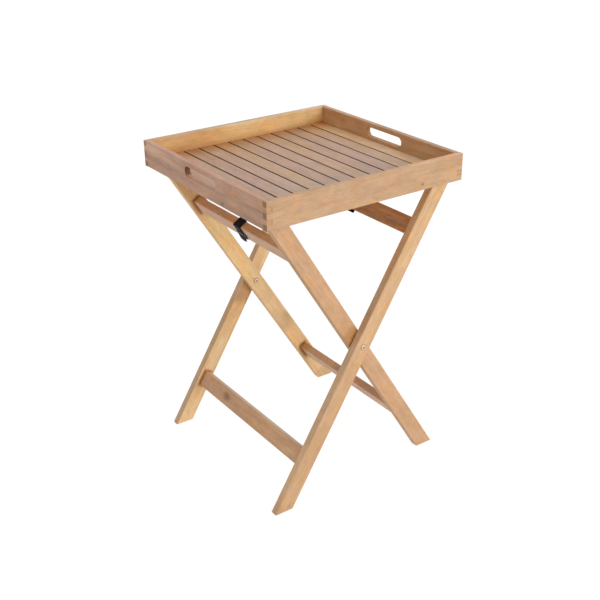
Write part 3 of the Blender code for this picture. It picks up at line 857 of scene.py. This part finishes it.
# %% The webbing finish
WARP_PITCH, WEFT_PITCH = 0.55, 0.8
webbing = Finish("black_webbing", Specular_IOR_Level=0.15)
webbing_uv = webbing.node("ShaderNodeUVMap", uv_map="strap")
lengthwise = webbing.node("ShaderNodeSeparateXYZ", {0: webbing_uv})
crosswise = lengthwise.other("Y")
thread_a = lengthwise.work("SINE", lengthwise * (math.tau / WARP_PITCH)) * 0.5 + 0.5
thread_b = crosswise.work("SINE", crosswise * (math.tau / WEFT_PITCH)) * 0.5 + 0.5
lint = webbing.step(webbing.noise(webbing_uv * (3.0, 3.0, 1.0), 3.0), 0.45, 0.75)
worn = webbing.step(webbing.noise(webbing_uv * (0.12, 0.12, 1.0)), 0.4, 0.7)
black = webbing.mix(thread_a * thread_b, (0.004, 0.004, 0.006), (0.012, 0.013, 0.017))
webbing.feed("Base Color", webbing.mix(lint * 0.3 + worn * 0.15, black, (0.026, 0.028, 0.034)))
webbing.feed("Roughness", 0.52 + 0.25 * thread_b + 0.1 * worn)
webbing.bump(thread_a * thread_b, 0.06 * MM)

# %% [markdown]
# ## Where the strap runs
#
# A short loop of webbing goes round the inner frame's top rail and holds the slider. The
# long strap goes round the outer frame's top rail, with a little slack hanging below it,
# crosses to the inner one, runs over the short loop and down through the slider, and its
# loose end sticks out below. Each rail gives the strap's path its own two directions: up
# the leg, and out of the rail's broad face. A strap drawn on one plane looks like a steel
# band, so both turns also drift sideways a little as they go round.

# %% Rails as the strap sees them
STRAP_WIDTH, STRAP_THICKNESS = 25.0, 1.1
SNUG = 0.25
strap_y = block_middle("strap_wrap_inner").y


class Rail:
    """A top rail seen from its end: middle, up the leg, and out of the outer broad face."""

    def __init__(self, name):
        _, across, through = block_axes(nodes[name])
        self.middle = block_middle(name)
        self.up = across if across.z > 0 else -across
        self.out = through if through.x * self.middle.x > 0 else -through
        _, self.half_height, self.half_depth = half_sizes(name)

    def at(self, out, up, aside=0.0):
        """A point by its distances from the rail's middle and the strap's, in mm."""
        place = self.middle + MM * (out * self.out + up * self.up)
        return Vector((place.x, strap_y + MM * aside, place.z))

    def height_of(self, point):
        return (point - self.middle).dot(self.up) / MM


inner_rail, outer_rail = Rail("inner_top_rail"), Rail("outer_top_rail")
print("rail, mm:", round(2 * inner_rail.half_height, 1), "x", round(2 * inner_rail.half_depth, 1))


# %% Smooth paths round the rails
BEND_RADIUS, BEND_STEPS = 2.2, 5


def rounded(points):
    """A path through corner points with each corner rounded off."""
    path = [points[0]]
    for before, corner, after in zip(points, points[1:], points[2:]):
        back, ahead = before - corner, after - corner
        reach = MM * BEND_RADIUS / math.tan(back.angle(ahead) / 2)
        reach = min(reach, back.length * 0.49, ahead.length * 0.49)
        start, end = corner + back.normalized() * reach, corner + ahead.normalized() * reach
        for step in range(BEND_STEPS + 1):
            share = step / BEND_STEPS
            path.append(start * (1 - share) ** 2 + 2 * corner * share * (1 - share) + end * share ** 2)
    return path + [points[-1]]


class Route:
    """A path that can be read at any distance from its start, in mm."""

    def __init__(self, points):
        self.path = np.array([tuple(point) for point in rounded(points)])
        steps = np.linalg.norm(np.diff(self.path, axis=0), axis=1) / MM
        self.marks = np.concatenate([[0], np.cumsum(steps)])
        self.length = self.marks[-1]

    def at(self, run):
        return Vector([np.interp(run, self.marks, self.path[:, part]) for part in range(3)])

    def above(self, run):
        """The direction out of the strap's face."""
        ahead = self.at(run + 0.3) - self.at(run - 0.3)
        return Vector((0, 1, 0)).cross(ahead).normalized()


# %% [markdown]
# ## Weaving
#
# Each strap is a ribbon of small quads with two faces and two thin edges. Its columns
# rise and fall by turns along the run, like the crosswise threads of webbing, and the
# outermost columns stay flat, as a selvedge. Displacing a plain ribbon with a texture
# would need far more faces to show the same ribs.

# %% Weaving a strap along a route
RIB_PITCH, RIB_DEPTH, COLUMNS = 1.8, 0.08, 16
ROWS_PER_RIB = 4
POINT_LENGTH, POINT_DEPTH = 16.0, 4.0
# Shares of the strap's thickness at its edge and in the next column
EDGE_SWELL, BESIDE_SWELL = 0.35, 0.85


def weave(name, route, pointed=False):
    """A closed webbing band along the route, lying across Y, with a pointed start if asked."""
    rows = round(route.length / RIB_PITCH) * ROWS_PER_RIB
    shape = bmesh.new()
    layer = shape.loops.layers.uv.new("strap")
    loops, marks = [], {}
    for row in range(rows + 1):
        run = route.length * row / rows
        loop = []
        for face in (1, -1):
            columns = range(COLUMNS + 1) if face == 1 else range(COLUMNS, -1, -1)
            for column in columns:
                share = 2 * column / COLUMNS - 1
                spot = run
                if pointed and run < POINT_LENGTH:
                    spot += POINT_DEPTH * abs(share) * (1 - run / POINT_LENGTH)
                edge = abs(share) == 1
                swell = EDGE_SWELL if edge else (BESIDE_SWELL if abs(share) > 0.86 else 1.0)
                phase = math.pi * (column % 2)
                rib = 0 if edge else RIB_DEPTH * math.cos(math.tau * run / RIB_PITCH + phase)
                height = face * (swell * STRAP_THICKNESS / 2 + rib)
                aside = share * STRAP_WIDTH / 2
                place = route.at(spot) + MM * height * route.above(spot)
                point = shape.verts.new(place + Vector((0, MM * aside, 0)))
                marks[point] = (spot, aside)
                loop.append(point)
        loops.append(loop)
    join(shape, loops)
    shape.faces.new(reversed(loops[0]))
    shape.faces.new(loops[-1])
    for face in shape.faces:
        face.smooth = True
        for corner in face.loops:
            corner[layer].uv = marks[corner.vert]
    piece = as_piece(name, shape)
    webbing.put_on(piece)
    return piece


# %% The loop that holds the slider
slider_up = inner_rail.height_of(block_middle("strap_slider"))
tail_tip = min(inner_rail.height_of(vertex.co) for vertex in nodes["strap_tail"].data.vertices)

depth, height = inner_rail.half_depth, inner_rail.half_height
first_out = depth + SNUG + STRAP_THICKNESS / 2
first_up = height + SNUG + STRAP_THICKNESS / 2
loop_route = Route([
    inner_rail.at(first_out, slider_up - 1.0),
    inner_rail.at(first_out, -first_up, 3.0),
    inner_rail.at(-first_out, -first_up, 3.6),
    inner_rail.at(-first_out, first_up, 1.5),
    inner_rail.at(first_out, first_up, 0.4),
    inner_rail.at(first_out, slider_up + 10.8),
])
slider_loop = weave("strap_slider_loop", loop_route)
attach(slider_loop, "inner_frame")
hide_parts("strap_wrap_inner")
print("short loop, mm:", round(loop_route.length))

# %% The long strap
SLIDER_DEPTH, BAR_DEPTH = 2.1, 0.9
LAYER = STRAP_THICKNESS + 0.15
RUB_GAP = 0.1
second_out, second_up = first_out + LAYER, first_up + LAYER
plate_out = depth + SNUG + LAYER
over_bar = plate_out + BAR_DEPTH + RUB_GAP + STRAP_THICKNESS / 2
over_rim = plate_out + SLIDER_DEPTH + RUB_GAP + STRAP_THICKNESS / 2
near_side = [
    inner_rail.at(over_rim + 0.9, tail_tip),
    inner_rail.at(over_rim, slider_up - 6.0),
    inner_rail.at(over_bar, slider_up - 1.5),
    inner_rail.at(over_bar, slider_up + 1.5),
    inner_rail.at(first_out, slider_up + 4.2),
    inner_rail.at(first_out, slider_up + 8.0),
    inner_rail.at(second_out, slider_up + 10.2),
    inner_rail.at(second_out, second_up),
    inner_rail.at(-depth - 0.4, second_up),
]

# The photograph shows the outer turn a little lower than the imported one
EXTRA_SLACK = 1.4
# Its drift outside the rail, below it and inside it; minus is toward the front
DRIFT_OUTSIDE, DRIFT_BELOW, DRIFT_INSIDE = -3.0, -4.5, -5.0
lowest = min(outer_rail.height_of(vertex.co) for vertex in nodes["strap_wrap_outer"].data.vertices)
slack_up = lowest - EXTRA_SLACK + STRAP_THICKNESS / 2
far_side = [
    outer_rail.at(-depth - 0.4, first_up),
    outer_rail.at(first_out, first_up),
    outer_rail.at(first_out, -height, DRIFT_OUTSIDE),
    outer_rail.at(first_out - 1.8, slack_up, DRIFT_BELOW),
    outer_rail.at(-first_out + 3.0, slack_up, DRIFT_INSIDE),
    outer_rail.at(-first_out, -height + 4.0, DRIFT_INSIDE),
    outer_rail.at(-first_out, height - 3.0, DRIFT_INSIDE),
]
band_route = Route(near_side + far_side)
band = weave("strap_band", band_route, pointed=True)
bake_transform(band)
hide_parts("strap_span", "strap_tail", "strap_wrap_outer")
print("long strap, mm:", round(band_route.length))
print("slack strap's middle below the outer rail, mm:", round(-height - slack_up, 1))

# %% [markdown]
# ## The slider
#
# A moulded black slider with two slots holds the strap's length. The strap comes out
# through the upper slot, runs over the thinner bar between them and hangs out over the
# lower rim. It is one plate with soft edges: cut from a rounded block with blocks for the
# slots and for the thinner bar, then bevelled, which is quicker than drawing its outline
# point by point and gives the same corners.

# %% The plastic finish
plastic = Finish("black_plastic", Specular_IOR_Level=0.6)
plastic_place = plastic.place_times(1000.0)
mould = plastic.noise(plastic_place * (2.2, 2.2, 2.2))
scuffs = plastic.step(plastic.noise(plastic_place * (0.5, 4.0, 0.5), 3.0), 0.5, 0.8)
plastic.feed("Base Color", plastic.mix(scuffs, (0.004, 0.004, 0.006), (0.018, 0.019, 0.023)))
plastic.feed("Roughness", 0.16 + 0.10 * mould + 0.2 * scuffs)
plastic.bump(mould, 0.02 * MM)

# %% A block on the rail
CORNER_STEPS = 5


def rail_block(name, out, up, width, height, thick, corner):
    """A block with round corners on the inner rail's outside, all in mm."""
    outline = []
    for side_sign, up_sign in ((1, 1), (-1, 1), (-1, -1), (1, -1)):
        start = math.atan2(up_sign, side_sign) - math.pi / 4
        for step in range(CORNER_STEPS + 1):
            angle = start + step / CORNER_STEPS * math.pi / 2
            aside = side_sign * (width / 2 - corner) + corner * math.cos(angle)
            outline.append((aside, up_sign * (height / 2 - corner) + corner * math.sin(angle)))
    shape = bmesh.new()
    loops = []
    for layer in (out, out + thick):
        places = (inner_rail.at(layer, up + v) + Vector((0, MM * aside, 0)) for aside, v in outline)
        loops.append([shape.verts.new(place) for place in places])
    join(shape, loops)
    shape.faces.new(reversed(loops[0]))
    shape.faces.new(loops[1])
    return as_piece(name, shape)


# %% Slider plate
# Width, height, thickness and corner radius
PLATE = (30.0, 15.0, SLIDER_DEPTH, 2.5)
SLOT = (26.0, 3.4, 6, 1.0)
SLOT_SPACING = 6.0
BAR_ROOM = (SLOT[0] - 1, SLOT_SPACING - 1, 4, 0.2)
EDGE_SOFTNESS, EDGE_STEPS = 0.45, 3
EASED_DEGREES, PLATE_SHARP_DEGREES = 50, 40

plate = rail_block("strap_slider_plate", plate_out, slider_up, *PLATE)
cutters = [
    rail_block("slot", plate_out - 2, slider_up + sign * SLOT_SPACING / 2, *SLOT) for sign in (1, -1)
]
cutters.append(rail_block("bar", plate_out + BAR_DEPTH, slider_up, *BAR_ROOM))
for cutter in cutters:
    cutting = plate.modifiers.new("cut", "BOOLEAN")
    cutting.object, cutting.operation, cutting.solver = cutter, "DIFFERENCE", "EXACT"
easing = plate.modifiers.new("soft_edges", "BEVEL")
easing.width, easing.segments = EDGE_SOFTNESS * MM, EDGE_STEPS
easing.limit_method, easing.angle_limit = "ANGLE", math.radians(EASED_DEGREES)
ready = bpy.context.evaluated_depsgraph_get()
plate.data = bpy.data.meshes.new_from_object(plate.evaluated_get(ready))
plate.modifiers.clear()
for cutter in cutters:
    bpy.data.objects.remove(cutter)
plate.data.shade_smooth()
plate.data.set_sharp_from_angle(angle=math.radians(PLATE_SHARP_DEGREES))
plastic.put_on(plate)
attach(plate, "inner_frame")
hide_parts("strap_slider")
print("slider faces:", len(plate.data.polygons))

# %% [markdown]
# ## Floor and light
#
# The photograph has a white ground and soft light from the front right: the faces toward
# the viewer's right are bright, and those at the left lie in even half shade. One large
# lamp gives the first, and a plain pale sky the second. The floor looks white to the
# camera because part of what it shows there is plain white, while the rest is a normal
# surface that keeps the table's faint shadow.

# %% Floor
WHITE = (1, 1, 1, 1)
FLOOR_REACH, FLOOR_DROP = 60.0, 0.0005
GLOW, GLOW_SHARE = 1.2, 0.72

floor_mesh = bpy.data.meshes.new("floor")
corners = [(x * FLOOR_REACH, y * FLOOR_REACH, -FLOOR_DROP) for x, y in ((-1, -1), (1, -1), (1, 1), (-1, 1))]
floor_mesh.from_pydata(corners, [], [(0, 1, 2, 3)])
floor = bpy.data.objects.new("floor", floor_mesh)
bpy.context.scene.collection.objects.link(floor)


def seen_directly(graph):
    """1 for rays from the camera, a mirror or glass, and 0 for rays that carry light."""
    paths = graph.node("ShaderNodeLightPath")
    seen = paths.other("Is Camera Ray")
    for name in ("Is Glossy Ray", "Is Transmission Ray"):
        seen = seen.work("MAXIMUM", seen, paths.other(name))
    return seen


pale = Finish("pale_floor", Roughness=0.9, Base_Color=(0.9, 0.9, 0.9, 1))
surface = Wire(pale, pale.shader.outputs[0])
glow = pale.node("ShaderNodeEmission", {"Color": WHITE, "Strength": GLOW})
glow_seen = seen_directly(pale) * GLOW_SHARE
pale.show(pale.node("ShaderNodeMixShader", {0: glow_seen, 1: surface, 2: glow}), "Material Output")
pale.put_on(floor)

# %% Sky and lamp
SKY_COLOUR, SKY_STRENGTH = (1.0, 0.985, 0.975, 1), 0.65
world = bpy.data.worlds.new("studio")
bpy.context.scene.world = world
world.use_nodes = True
sky = Graph(world.node_tree)
background = sky.tree.nodes["Background"]
background.inputs["Color"].default_value = SKY_COLOUR
background.inputs["Strength"].default_value = SKY_STRENGTH
soft = Wire(sky, background.outputs[0])
white = sky.node("ShaderNodeBackground", {"Color": WHITE, "Strength": 1.0})
sky.show(sky.node("ShaderNodeMixShader", {0: seen_directly(sky), 1: soft, 2: white}), "World Output")

LAMP_AWAY, LAMP_SIZE, LAMP_POWER = 4.0, 2.4, 67
LAMP_AIM = Vector((0, 0, 0.4))
lamp_side = Vector((0.27, -0.90, 0.36)).normalized()
lamp_data = bpy.data.lights.new("key_lamp", "AREA")
lamp_data.shape = "DISK"
lamp_data.size = LAMP_SIZE
lamp_data.energy = LAMP_POWER
lamp_data.color = (1.0, 0.965, 0.915)
lamp = bpy.data.objects.new("key_lamp", lamp_data)
bpy.context.scene.collection.objects.link(lamp)
lamp.location = LAMP_AIM + LAMP_AWAY * lamp_side
lamp.rotation_euler = lamp_side.to_track_quat("Z", "Y").to_euler()
bpy.context.scene.view_settings.view_transform = "Standard"
print("lamp at, m:", [round(part, 2) for part in lamp.location])
